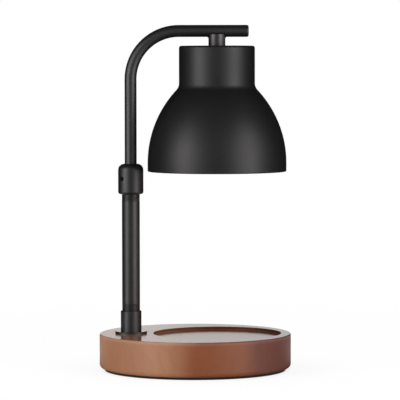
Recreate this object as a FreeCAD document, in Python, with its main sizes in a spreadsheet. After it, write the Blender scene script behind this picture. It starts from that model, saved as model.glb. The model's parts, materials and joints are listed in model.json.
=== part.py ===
import FreeCAD, Part
import math
import os
import Sketcher

# Candle warmer lamp: a round wooden base with a candle recess, a telescopic post that slides and turns
# in a clamping collar, and a bent arm that carries a spun shade with a twist-lock reflector bulb.
# Millimetres, +Z up.  The origin is the centre of the base's underside, +X points along the arm.

doc = FreeCAD.newDocument("candle_warmer_lamp")
sheet = doc.addObject("Spreadsheet::Sheet", "sizes")
parts = []


class Size:
    """A number together with the spreadsheet expression that gives it."""

    def __init__(self, value, text):
        self.value = float(value)
        self.text = text

    def __add__(self, other):
        other = as_size(other)
        return Size(self.value + other.value, f"({self.text} + {other.text})")

    def __sub__(self, other):
        other = as_size(other)
        return Size(self.value - other.value, f"({self.text} - {other.text})")

    def __mul__(self, other):
        other = as_size(other)
        return Size(self.value * other.value, f"({self.text} * {other.text})")

    def __truediv__(self, other):
        other = as_size(other)
        return Size(self.value / other.value, f"({self.text} / {other.text})")

    def __neg__(self):
        return Size(-self.value, f"(0 - {self.text})")


def as_size(number):
    """Let plain whole numbers take part in the sums."""
    return number if isinstance(number, Size) else Size(number, str(number))


def root(size):
    return Size(math.sqrt(size.value), f"sqrt({size.text})")


def sine(angle):
    return Size(math.sin(math.radians(angle.value)), f"sin({angle.text})")


def cosine(angle):
    return Size(math.cos(math.radians(angle.value)), f"cos({angle.text})")


ZERO = Size(0, "0")

# ---------------------------------------------------------------- driving dimensions
SIZES = {
    "pad_inset": 1,              # anti-slip pad, inside the flat of the disc's underside
    "pad_thick": 1.8,            # anti-slip pad, thickness
    "pad_round": 0.4,            # anti-slip pad, edge radius

    "disc_thick": 28.7,          # wooden disc, thickness
    "disc_low_round": 3.5,       # wooden disc, lower edge radius
    "disc_top_round": 1,         # wooden disc, upper edge radius

    "recess_dia": 106.6,         # candle recess, diameter
    "recess_wall": 8.3,          # candle recess, wood left beside it
    "recess_land": 5.45,         # candle recess, wood left between it and the foot flange
    "recess_depth": 2.5,         # candle recess, depth
    "recess_rim_round": 0.6,     # candle recess, radius of its upper edge
    "recess_floor_round": 1,     # candle recess, radius at its floor

    "cavity_room": 5,            # wiring cavity, room around the washer
    "cavity_wall": 6.4,          # wiring cavity, wood left outside it
    "cavity_head": 0.8,          # wiring cavity, room above the grommet's lip

    "grommet_bore": 6.4,         # cord inlet, bore for the flex
    "grommet_wall": 1.3,         # cord grommet, wall
    "grommet_over": 1.5,         # cord grommet, flange past the neck
    "grommet_flange_thick": 1.5, # cord grommet, flange thickness
    "grommet_lip_over": 0.7,     # cord grommet, inner lip past the neck
    "grommet_lip_thick": 1.6,    # cord grommet, inner lip thickness
    "grommet_inset": 0.4,        # cord grommet, face inside the disc's side
    "grommet_rise": 0.5,         # cord grommet, wood left between it and the disc's lower round

    "nipple_dia": 10,            # hollow threaded nipples, outside diameter
    "nipple_bore": 7.4,          # hollow threaded nipples, bore
    "nipple_tail": 1.5,          # nipple length past its nut
    "nut_flats": 14,             # nipple nuts, width across flats
    "nut_thick": 4,              # nipple nuts, thickness
    "washer_thick": 1.5,         # nipple washers, thickness
    "base_washer_dia": 30,       # washer under the wood, diameter
    "shade_washer_dia": 18,      # washer inside the shade, diameter

    "flange_lip": 4.6,           # foot flange, past the foot socket
    "flange_thick": 1.8,         # foot flange, thickness
    "flange_round": 0.4,         # foot flange, upper edge radius
    "socket_wall": 1.15,         # foot socket, wall around the lower tube
    "socket_high": 17.2,         # foot socket, height
    "socket_web": 6,             # foot socket, threaded floor thickness
    "socket_land": 0.3,          # foot socket, flat ring left inside its rounded edge

    "lower_wall": 1.35,          # lower tube, wall
    "lower_high": 97.55,         # lower tube, length between socket and collar
    "thread_pitch": 1,           # lower tube end threads, pitch
    "thread_depth": 0.2,         # lower tube end threads, depth
    "thread_rings": 6,           # thread turns left in sight at each end

    "collar_wall": 3.05,         # height collar, wall around the lower tube
    "collar_guide": 16.2,        # height collar, length above the lower tube
    "collar_low_round": 2,       # height collar, lower edge radius
    "collar_land": 0.39,         # height collar, flat ring left inside its shoulder
    "collar_thread": 9,          # height collar, length screwed on the lower tube
    "screw_dia": 4,              # clamp screw, diameter
    "screw_long": 4.6,           # clamp screw, length
    "screw_rise": 4,             # clamp screw, height above the lower tube's end
    "screw_hex": 2,              # clamp screw, hexagon socket across flats
    "screw_hex_deep": 2.2,       # clamp screw, hexagon socket depth
    "screw_chamfer": 0.5,        # clamp screw, end chamfers
    "screw_turned": 226,         # clamp screw direction, degrees from +X

    "upper_dia": 10,             # upper tube, diameter
    "upper_wall": 1,             # upper tube, wall
    "bend_radius": 40.2,         # upper tube, bend radius on its centre line
    "post_shown": 70.35,         # straight upper tube above the collar
    "post_hidden": 70,           # upper tube inside the collar and lower tube
    "overhang": 26.45,           # arm past the shade axis
    "lead_hole": 6,              # hole in the arm for the leads

    "bush_long": 10,             # guide bush, length
    "bush_wall": 0.98,           # guide bush, wall
    "bush_chamfer": 0.3,         # guide bush, end chamfers
    "clip_thick": 0.8,           # snap rings, thickness
    "clip_clear": 0.35,          # snap rings, clear of the lower tube's bore
    "clip_groove": 0.3,          # snap ring grooves, depth
    "clip_opening": 4,           # snap rings, opening
    "tail_end": 1.5,             # tube end to the lower snap ring

    "plug_edge": 0.3,            # arm end plug, straight edge beside its round
    "plug_round": 1.6,           # arm end plug, edge radius
    "plug_spigot": 6,            # arm end plug, spigot length

    "stem_wall": 2,              # shade stem, wall around the nipple
    "stem_gap": 7.3,             # shade stem, height in sight under the arm
    "stem_cheek": 2.2,           # shade stem, cheeks above the arm's underside
    "stem_web": 2,               # shade stem, metal left between its thread and the arm
    "weld_size": 1.5,            # weld fillets between stem and arm
    "weld_width": 6,             # weld fillets, width

    "neck_dia": 63.3,            # shade neck, diameter
    "neck_high": 34.5,           # shade neck, height
    "neck_inside_round": 1.2,    # shade neck, inner radius of its upper edge
    "neck_fillet": 8,            # shade neck, fillet where the dome begins
    "dome_radius": 88.7,         # shade dome, outline radius
    "rim_gap": 3.54,             # shade rim, clear of the height collar
    "rim_band": 7.2,             # shade rim, straight band
    "shade_wall": 0.8,           # shade, wall
    "hem_high": 2,               # shade hem, height
    "hem_fold": 0.8,             # shade hem, thickness of its fold

    "strip_thick": 1.2,          # holder bracket, strip thickness
    "strip_side": 1.95,          # holder bracket, strip left beside its hole
    "strip_round": 1.6,          # holder bracket, inner bend radius
    "strip_below": 4,            # holder bracket, legs past their screws
    "holder_clear": 5.5,         # lamp holder, clear of the shade's nipple
    "holder_dia": 27,            # lamp holder, diameter
    "holder_high": 18,           # lamp holder, height
    "holder_chamfer": 1.2,       # lamp holder, edge chamfers
    "holder_screw_up": 12,       # holder screws, height above the holder's face
    "holder_screw_dia": 3,       # holder screws, diameter
    "holder_screw_deep": 3.5,    # holder screws, length in the holder
    "holder_head_dia": 5.6,      # holder screws, head diameter
    "holder_head_thick": 1.7,    # holder screws, head thickness
    "driver_slot": 0.8,          # holder screws, driver slot width
    "lip_thick": 2.4,            # lamp holder, lip that holds the pins
    "lead_way": 2.4,             # lamp holder, holes for its leads
    "contact_thick": 0.8,        # holder contacts, thickness
    "contact_side": 0.4,         # holder contacts, clear of their chamber

    "pin_circle": 10,            # bulb pins, distance between them
    "pin_head": 4.9,             # bulb pins, head diameter
    "pin_head_high": 4.4,        # bulb pins, head height
    "pin_neck": 3.2,             # bulb pins, neck diameter
    "twist": 22,                 # turn that frees the bulb, degrees
    "bulb_dia": 50,              # bulb, front diameter
    "bulb_high": 53,             # bulb, height without pins
    "bulb_rim": 4,               # bulb, height of the front rim
    "bulb_glass": 1.4,           # bulb, reflector wall
    "bulb_neck_dia": 21,         # bulb, diameter of the cemented base
    "bulb_neck_high": 17,        # bulb, height of the cemented base
    "bulb_foot_dia": 17,         # bulb, diameter at the holder
    "bulb_curve": 48,            # bulb, outline radius of the reflector
    "lens_thick": 2.2,           # bulb, front glass thickness
    "capsule_dia": 8,            # bulb, inner capsule diameter
    "capsule_high": 17,          # bulb, inner capsule height

    "thread_gap": 0.05,          # radial gap in threads and fixed fits
    "running_gap": 0.06,         # radial gap of running fits
    "end_gap": 0.2,              # gap behind ends and shoulders
    "pin_gap": 0.35,             # gap around the bulb pins
}

for row, (alias, number) in enumerate(SIZES.items(), 1):
    sheet.set(f"A{row}", alias)
    sheet.set(f"B{row}", str(number))
    sheet.setAlias(f"B{row}", alias)


class Dimensions:
    """Gives each driving dimension by its name."""

    def __getattr__(self, alias):
        return Size(SIZES[alias], f"sizes.{alias}")


dim = Dimensions()

# ---------------------------------------------------------------- derived sizes
upper_bore = dim.upper_dia - dim.upper_wall * 2
guide_radius = dim.upper_dia / 2 + dim.running_gap
lower_bore = (guide_radius + dim.bush_wall + dim.running_gap) * 2
lower_dia = lower_bore + dim.lower_wall * 2
tube_seat = lower_dia / 2 + dim.thread_gap
socket_dia = (tube_seat + dim.socket_wall) * 2
flange_dia = socket_dia + dim.flange_lip * 2
collar_dia = (tube_seat + dim.collar_wall) * 2
collar_high = dim.collar_thread + dim.collar_guide
screw_height = dim.collar_thread + dim.screw_rise
nipple_hole = dim.nipple_dia + dim.thread_gap * 2
stem_dia = nipple_hole + dim.stem_wall * 2
stem_thread = dim.stem_gap - dim.stem_web
plug_head = dim.plug_round + dim.plug_edge
hem_thick = dim.shade_wall + dim.hem_fold
grommet_neck = dim.grommet_bore + dim.grommet_wall * 2
grommet_flange = grommet_neck + dim.grommet_over * 2
grommet_lip = grommet_neck + dim.grommet_lip_over * 2
cord_height = dim.disc_low_round + dim.grommet_rise + grommet_flange / 2
cavity_depth = cord_height + grommet_lip / 2 + dim.cavity_head
screw_hole = dim.screw_dia + dim.thread_gap * 2
holder_screw_hole = dim.holder_screw_dia + dim.thread_gap * 2
head_hole = dim.pin_head + dim.pin_gap * 2
chamber_high = dim.pin_head_high + dim.pin_gap * 2 + dim.contact_thick

# ---------------------------------------------------------------- derived places
recess_radius = dim.recess_dia / 2
reach = recess_radius + dim.recess_land + flange_dia / 2
rim_radius = reach - collar_dia / 2 - dim.rim_gap
cavity_radius = dim.base_washer_dia / 2 + dim.cavity_room
post_edge = cavity_radius + dim.cavity_wall
disc_radius = (post_edge + reach + recess_radius + dim.recess_wall) / 2
post_x = post_edge - disc_radius
shade_x = post_x + reach
disc_foot = dim.pad_thick
disc_top = disc_foot + dim.disc_thick
cavity_top = disc_foot + cavity_depth
base_washer_foot = cavity_top - dim.washer_thick
base_nut_foot = base_washer_foot - dim.nut_thick
socket_foot = disc_top + dim.flange_thick
socket_top = socket_foot + dim.socket_high
collar_foot = socket_top + dim.lower_high
collar_top = collar_foot + collar_high
bend_foot = collar_top + dim.post_shown
arm_height = bend_foot + dim.bend_radius
tail_foot = collar_top - dim.post_hidden
bush_foot = dim.tail_end + dim.clip_thick + dim.running_gap
clip_top_foot = bush_foot + dim.bush_long + dim.running_gap
shade_top = arm_height - dim.upper_dia / 2 - dim.stem_gap
web_top = shade_top - dim.shade_wall
web_foot = web_top - dim.strip_thick
shade_washer_foot = web_foot - dim.washer_thick
shade_nut_foot = shade_washer_foot - dim.nut_thick
holder_foot = shade_nut_foot - dim.nipple_tail - dim.holder_clear - dim.holder_high
bulb_top = holder_foot - dim.pin_gap


# ---------------------------------------------------------------- modelling helpers
def new_part(label, x=ZERO, y=ZERO, z=ZERO):
    """Start a body whose own origin stands at x, y, z of the lamp."""
    body = doc.addObject("PartDesign::Body", label)
    body.Label = label
    for axis, place in (("x", x), ("y", y), ("z", z)):
        body.setExpression(f".Placement.Base.{axis}", place.text)
    parts.append(body)
    return body


def turn_about_z(body, angle):
    """Turn a body about its own upright axis."""
    body.Placement.Rotation = FreeCAD.Rotation(FreeCAD.Vector(0, 0, 1), angle.value)
    body.setExpression(".Placement.Rotation.Angle", angle.text)


def new_sketch(body, plane, x=ZERO, y=ZERO, z=ZERO):
    """Attach a sketch to one of the body's own origin planes, shifted in the plane's own directions."""
    sketch = body.newObject("Sketcher::SketchObject", f"{body.Label}_sketch")
    origin_plane = next(item for item in body.Origin.OriginFeatures if item.Role == plane)
    sketch.AttachmentSupport = [(origin_plane, "")]
    sketch.MapMode = "FlatFace"
    for axis, place in (("x", x), ("y", y), ("z", z)):
        sketch.setExpression(f".AttachmentOffset.Base.{axis}", place.text)
    return sketch


def pin_point(sketch, edge, end, x, y):
    """Hold one end of an edge at x, y with constraints that follow the sheet."""
    for kind, axis, place in (("DistanceX", -2, x), ("DistanceY", -1, y)):
        if place.text == "0":
            sketch.addConstraint(Sketcher.Constraint("PointOnObject", edge, end, axis))
            continue
        row = sketch.addConstraint(Sketcher.Constraint(kind, -1, 1, edge, end, place.value))
        sketch.setExpression(f"Constraints[{row}]", place.text)


def bent_edge(start, end, radius):
    """Arc between two points; a positive radius keeps its centre on the left of the way."""
    half = (end - start) * 0.5
    side = FreeCAD.Vector(-half.y, half.x, 0)
    side.normalize()
    height = math.sqrt(max(radius * radius - half.Length ** 2, 0.0))
    centre = start + half + side * math.copysign(height, radius)
    first, last = (start, end) if radius > 0 else (end, start)
    angles = [math.atan2(point.y - centre.y, point.x - centre.x) for point in (first, last)]
    circle = Part.Circle(centre, FreeCAD.Vector(0, 0, 1), abs(radius))
    return Part.ArcOfCircle(circle, angles[0], angles[1])


def draw_path(sketch, corners, closed=True):
    """Join corners (x, y) with lines; a third value bends the edge that arrives at its corner."""
    points = [FreeCAD.Vector(corner[0].value, corner[1].value, 0) for corner in corners]
    ends = []
    for number in range(0 if closed else 1, len(corners)):
        start = points[number - 1]
        corner = corners[number]
        if len(corner) == 3:
            edge = sketch.addGeometry(bent_edge(start, points[number], corner[2].value), False)
            first, last = (1, 2) if corner[2].value > 0 else (2, 1)
            size = corner[2] if corner[2].value > 0 else -corner[2]
            row = sketch.addConstraint(Sketcher.Constraint("Radius", edge, size.value))
            sketch.setExpression(f"Constraints[{row}]", size.text)
        else:
            edge = sketch.addGeometry(Part.LineSegment(start, points[number]), False)
            first, last = 1, 2
        ends.append((edge, first, last))
        pin_point(sketch, edge, last, corner[0], corner[1])
    if not closed:
        pin_point(sketch, ends[0][0], ends[0][1], corners[0][0], corners[0][1])
    for number in range(0 if closed else 1, len(ends)):
        before, after = ends[number - 1], ends[number]
        sketch.addConstraint(Sketcher.Constraint("Coincident", before[0], before[2], after[0], after[1]))
    return sketch


def draw_circle(sketch, x, y, diameter):
    circle = Part.Circle(FreeCAD.Vector(x.value, y.value, 0), FreeCAD.Vector(0, 0, 1), diameter.value / 2)
    edge = sketch.addGeometry(circle, False)
    pin_point(sketch, edge, 3, x, y)
    row = sketch.addConstraint(Sketcher.Constraint("Diameter", edge, diameter.value))
    sketch.setExpression(f"Constraints[{row}]", diameter.text)
    return sketch


def draw_hexagon(sketch, flats):
    """A hexagon about the sketch's origin, with two flats level."""
    half_side = flats / 2 / root(as_size(3))
    half = flats / 2
    corners = [(half_side, -half), (half_side * 2, ZERO), (half_side, half)]
    corners += [(-half_side, half), (-half_side * 2, ZERO), (-half_side, -half)]
    return draw_path(sketch, corners)


def turn_solid(body, kind, sketch, axis="V_Axis"):
    """Revolution or Groove right round one of the sketch's axes."""
    feature = body.newObject(f"PartDesign::{kind}", f"{body.Label}_{kind.lower()}")
    feature.Profile = sketch
    feature.ReferenceAxis = (sketch, [axis])
    feature.Angle = 360
    return feature


def extrude(body, kind, sketch, length, reverse=False, both_ways=False):
    """Pad or Pocket of a named length."""
    feature = body.newObject(f"PartDesign::{kind}", f"{body.Label}_{kind.lower()}")
    feature.Profile = sketch
    feature.setExpression("Length", length.text)
    feature.Reversed = reverse
    feature.Midplane = both_ways
    return feature


def turned(label, corners, x=ZERO, y=ZERO, z=ZERO, axis="V_Axis"):
    """A body turned from one outline of radius and height (or, about H_Axis, of length and radius)."""
    body = new_part(label, x, y, z)
    turn_solid(body, "Revolution", draw_path(new_sketch(body, "XZ_Plane"), corners), axis)
    return body


def round_edge(body, name, radius_at, height, size):
    """Fillet the round edge of the body's last shape that lies at this radius and height."""
    base = body.Tip
    doc.recompute()

    def miss(number):
        curve = base.Shape.Edges[number].Curve
        if not isinstance(curve, Part.Circle):
            return math.inf
        return abs(curve.Radius - radius_at.value) + abs(curve.Center.z - height.value)

    nearest = min(range(len(base.Shape.Edges)), key=miss)
    fillet = body.newObject("PartDesign::Fillet", f"{body.Label}_{name}")
    fillet.Base = (base, [f"Edge{nearest + 1}"])
    fillet.setExpression("Radius", size.text)
    return fillet


def ring_outline(inner, outer, foot, top):
    return [(inner, foot), (outer, foot), (outer, top), (inner, top)]


def cylinder(name, diameter, length, place, direction=(0, 0, 1)):
    """A Part cylinder whose foot stands at a place and which runs in a direction."""
    solid = doc.addObject("Part::Cylinder", name)
    solid.setExpression("Radius", (diameter / 2).text)
    solid.setExpression("Height", length.text)
    solid.Placement.Rotation = FreeCAD.Rotation(FreeCAD.Vector(0, 0, 1), FreeCAD.Vector(*direction))
    for axis, distance in zip("xyz", place):
        solid.setExpression(f".Placement.Base.{axis}", distance.text)
    return solid


def block(name, length, width, height, place):
    """A Part box whose lowest corner stands at a place."""
    solid = doc.addObject("Part::Box", name)
    for side, distance in (("Length", length), ("Width", width), ("Height", height)):
        solid.setExpression(side, distance.text)
    for axis, distance in zip("xyz", place):
        solid.setExpression(f".Placement.Base.{axis}", distance.text)
    return solid


def joined(name, kind, base, tool):
    """Part boolean of two objects."""
    result = doc.addObject(f"Part::{kind}", name)
    result.Base = base
    result.Tool = tool
    return result


def group(label, solids):
    """Identical pieces that share one name stay separate solids of one compound."""
    compound = doc.addObject("Part::Compound", label)
    compound.Label = label
    compound.Links = solids
    parts.append(compound)
    return compound


# ---------------------------------------------------------------- base
def make_base_pad():
    radius = disc_radius - dim.disc_low_round - dim.pad_inset
    return turned("base_pad", [
        (ZERO, ZERO),
        (radius - dim.pad_round, ZERO),
        (radius, dim.pad_round, dim.pad_round),
        (radius, dim.pad_thick),
        (ZERO, dim.pad_thick),
    ])


def make_base_disc():
    body = turned("base_disc", [
        (ZERO, ZERO),
        (disc_radius - dim.disc_low_round, ZERO),
        (disc_radius, dim.disc_low_round, dim.disc_low_round),
        (disc_radius, dim.disc_thick - dim.disc_top_round),
        (disc_radius - dim.disc_top_round, dim.disc_thick, dim.disc_top_round),
        (ZERO, dim.disc_thick),
    ], z=disc_foot)

    floor = dim.disc_thick - dim.recess_depth
    recess = draw_path(new_sketch(body, "XZ_Plane", x=shade_x), [
        (ZERO, floor),
        (recess_radius - dim.recess_floor_round, floor),
        (recess_radius, floor + dim.recess_floor_round, dim.recess_floor_round),
        (recess_radius, dim.disc_thick - dim.recess_rim_round),
        (recess_radius + dim.recess_rim_round, dim.disc_thick, -dim.recess_rim_round),
        (ZERO, dim.disc_thick),
    ])
    turn_solid(body, "Groove", recess)

    cavity = draw_circle(new_sketch(body, "XY_Plane"), post_x, ZERO, cavity_radius * 2)
    extrude(body, "Pocket", cavity, cavity_depth, reverse=True)
    post_hole = draw_circle(new_sketch(body, "XY_Plane"), post_x, ZERO, nipple_hole)
    extrude(body, "Pocket", post_hole, dim.disc_thick, reverse=True)

    cord_hole = new_sketch(body, "YZ_Plane", z=post_x)
    draw_circle(cord_hole, ZERO, cord_height, grommet_neck + dim.thread_gap * 2)
    extrude(body, "Pocket", cord_hole, post_edge)
    seat_depth = dim.grommet_inset + dim.grommet_flange_thick
    flange_seat = new_sketch(body, "YZ_Plane", z=seat_depth - disc_radius)
    draw_circle(flange_seat, ZERO, cord_height, grommet_flange + dim.thread_gap * 2)
    extrude(body, "Pocket", flange_seat, seat_depth)
    return body


def make_cord_grommet():
    """Rubber bush for the flex; its own origin is the middle of its outer face, it runs along +X."""
    bulge = grommet_lip * grommet_lip / 8 / cavity_radius
    lip_foot = dim.cavity_wall - dim.grommet_inset + bulge + dim.end_gap
    bore = dim.grommet_bore / 2
    return turned("cord_grommet", [
        (ZERO, bore),
        (ZERO, grommet_flange / 2),
        (dim.grommet_flange_thick, grommet_flange / 2),
        (dim.grommet_flange_thick, grommet_neck / 2),
        (lip_foot, grommet_neck / 2),
        (lip_foot, grommet_lip / 2),
        (lip_foot + dim.grommet_lip_thick, grommet_neck / 2),
        (lip_foot + dim.grommet_lip_thick, bore),
    ], x=dim.grommet_inset - disc_radius, z=disc_foot + cord_height, axis="H_Axis")


# ---------------------------------------------------------------- foot of the post
def make_nut(label, x, z):
    body = new_part(label, x=x, z=z)
    extrude(body, "Pad", draw_hexagon(new_sketch(body, "XY_Plane"), dim.nut_flats), dim.nut_thick)
    hole = draw_circle(new_sketch(body, "XY_Plane"), ZERO, ZERO, nipple_hole)
    extrude(body, "Pocket", hole, dim.nut_thick, reverse=True)
    return body


def make_washer(label, diameter, x, z):
    return turned(label, ring_outline(nipple_hole / 2, diameter / 2, ZERO, dim.washer_thick), x=x, z=z)


def make_nipple(label, x, foot, top):
    return turned(label, ring_outline(dim.nipple_bore / 2, dim.nipple_dia / 2, ZERO, top - foot), x=x, z=foot)


def make_foot_flange():
    radius = flange_dia / 2
    hole = nipple_hole / 2
    return turned("foot_flange", [
        (hole, ZERO),
        (radius, ZERO),
        (radius, dim.flange_thick - dim.flange_round),
        (radius - dim.flange_round, dim.flange_thick, dim.flange_round),
        (hole, dim.flange_thick),
    ], x=post_x, z=disc_top)


def make_foot_socket():
    radius = socket_dia / 2
    tapped = nipple_hole / 2
    edge_round = dim.socket_wall - dim.socket_land
    return turned("foot_socket", [
        (tapped, ZERO),
        (radius, ZERO),
        (radius, dim.socket_high - edge_round),
        (radius - edge_round, dim.socket_high, edge_round),
        (tube_seat, dim.socket_high),
        (tube_seat, dim.socket_web),
        (tapped, dim.socket_web),
    ], x=post_x, z=socket_foot)


# ---------------------------------------------------------------- post and collar
def make_lower_tube():
    """Tube with a few thread turns in sight at the socket and under the collar."""
    foot = dim.socket_web - dim.socket_high + dim.end_gap
    top = dim.lower_high + dim.collar_thread - dim.end_gap
    outside = lower_dia / 2
    body = turned("lower_tube", ring_outline(lower_bore / 2, outside, foot, top), x=post_x, z=socket_top)
    half_pitch = dim.thread_pitch / 2
    run = dim.thread_pitch * (dim.thread_rings - 1)
    for first in (half_pitch, dim.lower_high - half_pitch - run):
        notch = draw_path(new_sketch(body, "XZ_Plane"), [
            (outside - dim.thread_depth, first),
            (outside + dim.thread_depth, first - half_pitch),
            (outside + dim.thread_depth, first + half_pitch),
        ])
        groove = turn_solid(body, "Groove", notch)
        pattern = body.newObject("PartDesign::LinearPattern", "lower_tube_thread")
        pattern.Originals = [groove]
        pattern.Direction = (notch, ["V_Axis"])
        pattern.setExpression("Length", run.text)
        pattern.setExpression("Occurrences", dim.thread_rings.text)
        body.Tip = pattern
    return body


def make_height_collar():
    """Collar screwed on the lower tube; its own +X points along the clamp screw."""
    radius = collar_dia / 2
    shoulder = radius - guide_radius - dim.collar_land
    body = turned("height_collar", [
        (tube_seat, ZERO),
        (radius - dim.collar_low_round, ZERO),
        (radius, dim.collar_low_round, dim.collar_low_round),
        (radius, collar_high - shoulder),
        (radius - shoulder, collar_high, shoulder),
        (guide_radius, collar_high),
        (guide_radius, dim.collar_thread),
        (tube_seat, dim.collar_thread),
    ], x=post_x, z=collar_foot)
    turn_about_z(body, dim.screw_turned)
    tapped = draw_circle(new_sketch(body, "YZ_Plane"), ZERO, screw_height, screw_hole)
    extrude(body, "Pocket", tapped, radius, reverse=True)
    return body


def make_clamp_screw():
    """Socket set screw along its own +X; its tip bears on the upper tube."""
    tip = guide_radius
    end = tip + dim.screw_long
    radius = dim.screw_dia / 2
    body = turned("clamp_screw", [
        (tip, ZERO),
        (tip, radius - dim.screw_chamfer),
        (tip + dim.screw_chamfer, radius),
        (end - dim.screw_chamfer, radius),
        (end, radius - dim.screw_chamfer),
        (end, ZERO),
    ], x=post_x, z=collar_foot + screw_height, axis="H_Axis")
    turn_about_z(body, dim.screw_turned)
    socket = draw_hexagon(new_sketch(body, "YZ_Plane", z=end), dim.screw_hex)
    extrude(body, "Pocket", socket, dim.screw_hex_deep)
    return body


def make_guide_bush():
    outer = guide_radius + dim.bush_wall
    return turned("guide_bush", [
        (guide_radius, ZERO),
        (outer - dim.bush_chamfer, ZERO),
        (outer, dim.bush_chamfer),
        (outer, dim.bush_long - dim.bush_chamfer),
        (outer - dim.bush_chamfer, dim.bush_long),
        (guide_radius, dim.bush_long),
    ], x=post_x, z=tail_foot + bush_foot)


def make_bush_clips():
    """Two snap rings that hold the guide bush on the tube's tail."""
    outside = lower_bore - dim.clip_clear * 2
    inside = dim.upper_dia - dim.clip_groove * 2 + dim.thread_gap * 2
    clips = []
    for name, height in (("lower_clip", dim.tail_end), ("upper_clip", clip_top_foot)):
        place = (post_x, ZERO, tail_foot + height)
        plate = cylinder(f"{name}_plate", outside, dim.clip_thick, place)
        seat = cylinder(f"{name}_seat", inside, dim.clip_thick, place)
        corner = (post_x, -dim.clip_opening / 2, tail_foot + height)
        opening = block(f"{name}_opening", outside, dim.clip_opening, dim.clip_thick, corner)
        clips.append(joined(name, "Cut", joined(f"{name}_ring", "Cut", plate, seat), opening))
    return group("bush_clips", clips)


# ---------------------------------------------------------------- arm
def make_upper_tube():
    """Bent tube; its own origin is the middle of the tail's end, the arm leaves along +X."""
    body = new_part("upper_tube", x=post_x, z=tail_foot)
    straight = bend_foot - tail_foot
    arm_level = straight + dim.bend_radius
    tube_end = reach + dim.overhang - plug_head
    path = draw_path(new_sketch(body, "XZ_Plane"), [
        (ZERO, ZERO),
        (ZERO, straight),
        (dim.bend_radius, arm_level, -dim.bend_radius),
        (tube_end, arm_level),
    ], closed=False)
    section = new_sketch(body, "XY_Plane")
    draw_circle(section, ZERO, ZERO, dim.upper_dia)
    draw_circle(section, ZERO, ZERO, upper_bore)
    pipe = body.newObject("PartDesign::AdditivePipe", "upper_tube_pipe")
    pipe.Profile = section
    pipe.Spine = (path, [])

    way_down = draw_circle(new_sketch(body, "XY_Plane", z=arm_level), reach, ZERO, dim.lead_hole)
    extrude(body, "Pocket", way_down, dim.upper_dia)
    outside = dim.upper_dia / 2
    for foot in (dim.tail_end, clip_top_foot):
        low = foot - dim.running_gap
        high = foot + dim.clip_thick + dim.running_gap
        corners = ring_outline(outside - dim.clip_groove, outside + dim.clip_groove, low, high)
        turn_solid(body, "Groove", draw_path(new_sketch(body, "XZ_Plane"), corners))
    return body


def make_arm_end_plug():
    head = dim.upper_dia / 2
    spigot = upper_bore / 2 - dim.thread_gap
    return turned("arm_end_plug", [
        (-dim.plug_spigot, ZERO),
        (-dim.plug_spigot, spigot),
        (ZERO, spigot),
        (ZERO, head),
        (dim.plug_edge, head),
        (plug_head, head - dim.plug_round, -dim.plug_round),
        (plug_head, ZERO),
    ], x=shade_x + dim.overhang - plug_head, z=arm_height, axis="H_Axis")


def make_shade_stem():
    """Short saddle between the arm and the shade, with weld fillets against the arm."""
    side = stem_dia / 2
    stem_high = dim.stem_gap + dim.stem_cheek
    body = turned("shade_stem", ring_outline(ZERO, side, ZERO, stem_high), x=shade_x, z=shade_top)
    inside = side - dim.weld_size
    for left in (True, False):
        direction = -1 if left else 1
        corners = [
            (inside * direction, dim.stem_gap),
            (inside * direction, dim.stem_gap - dim.weld_size),
            (side * direction, dim.stem_gap - dim.weld_size),
            ((side + dim.weld_size) * direction, dim.stem_gap, dim.weld_size * -direction),
        ]
        web = draw_path(new_sketch(body, "XZ_Plane"), corners)
        extrude(body, "Pad", web, dim.weld_width, both_ways=True)
    saddle = new_sketch(body, "YZ_Plane")
    draw_circle(saddle, ZERO, dim.stem_gap + dim.upper_dia / 2, dim.upper_dia + dim.thread_gap * 2)
    extrude(body, "Pocket", saddle, stem_dia * 2, both_ways=True)
    tapped = draw_circle(new_sketch(body, "XY_Plane"), ZERO, ZERO, nipple_hole)
    extrude(body, "Pocket", tapped, stem_thread, reverse=True)
    way_down = draw_circle(new_sketch(body, "XY_Plane"), ZERO, ZERO, dim.lead_hole)
    extrude(body, "Pocket", way_down, stem_high, reverse=True)
    return body


# ---------------------------------------------------------------- shade
def dome_meets_neck(radius, outline):
    """Height above the dome's centre at which its outline comes in to a radius."""
    inward = rim_radius - dim.dome_radius
    across = radius - inward
    return root(outline * outline - across * across)


def make_shade():
    """Spun shade: flat top, straight neck, domed skirt and a folded hem; its own origin is its top."""
    outer = rim_radius
    inner = outer - dim.shade_wall
    neck = dim.neck_dia / 2
    neck_in = neck - dim.shade_wall
    dome_centre = -(dim.neck_high + dome_meets_neck(neck, dim.dome_radius))
    rim_foot = dome_centre - dim.rim_band
    inner_meet = dome_centre + dome_meets_neck(neck_in, dim.dome_radius - dim.shade_wall)
    hem_in = outer - hem_thick
    half_hem = hem_thick / 2
    neck_round = dim.neck_inside_round + dim.shade_wall
    body = turned("shade", [
        (nipple_hole / 2, ZERO),
        (nipple_hole / 2, -dim.shade_wall),
        (neck_in - dim.neck_inside_round, -dim.shade_wall),
        (neck_in, -neck_round, -dim.neck_inside_round),
        (neck_in, inner_meet),
        (inner, dome_centre, -(dim.dome_radius - dim.shade_wall)),
        (inner, rim_foot + dim.hem_high),
        (hem_in, rim_foot + dim.hem_high - dim.shade_wall / 2),
        (hem_in, rim_foot + half_hem),
        (outer - half_hem, rim_foot, half_hem),
        (outer, rim_foot + half_hem, half_hem),
        (outer, dome_centre),
        (neck, -dim.neck_high, dim.dome_radius),
        (neck, -neck_round),
        (neck - neck_round, ZERO, neck_round),
    ], x=shade_x, z=shade_top)
    round_edge(body, "outer_fillet", neck, -dim.neck_high, dim.neck_fillet)
    round_edge(body, "inner_fillet", neck_in, inner_meet, dim.neck_fillet + dim.shade_wall)
    return body


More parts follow.
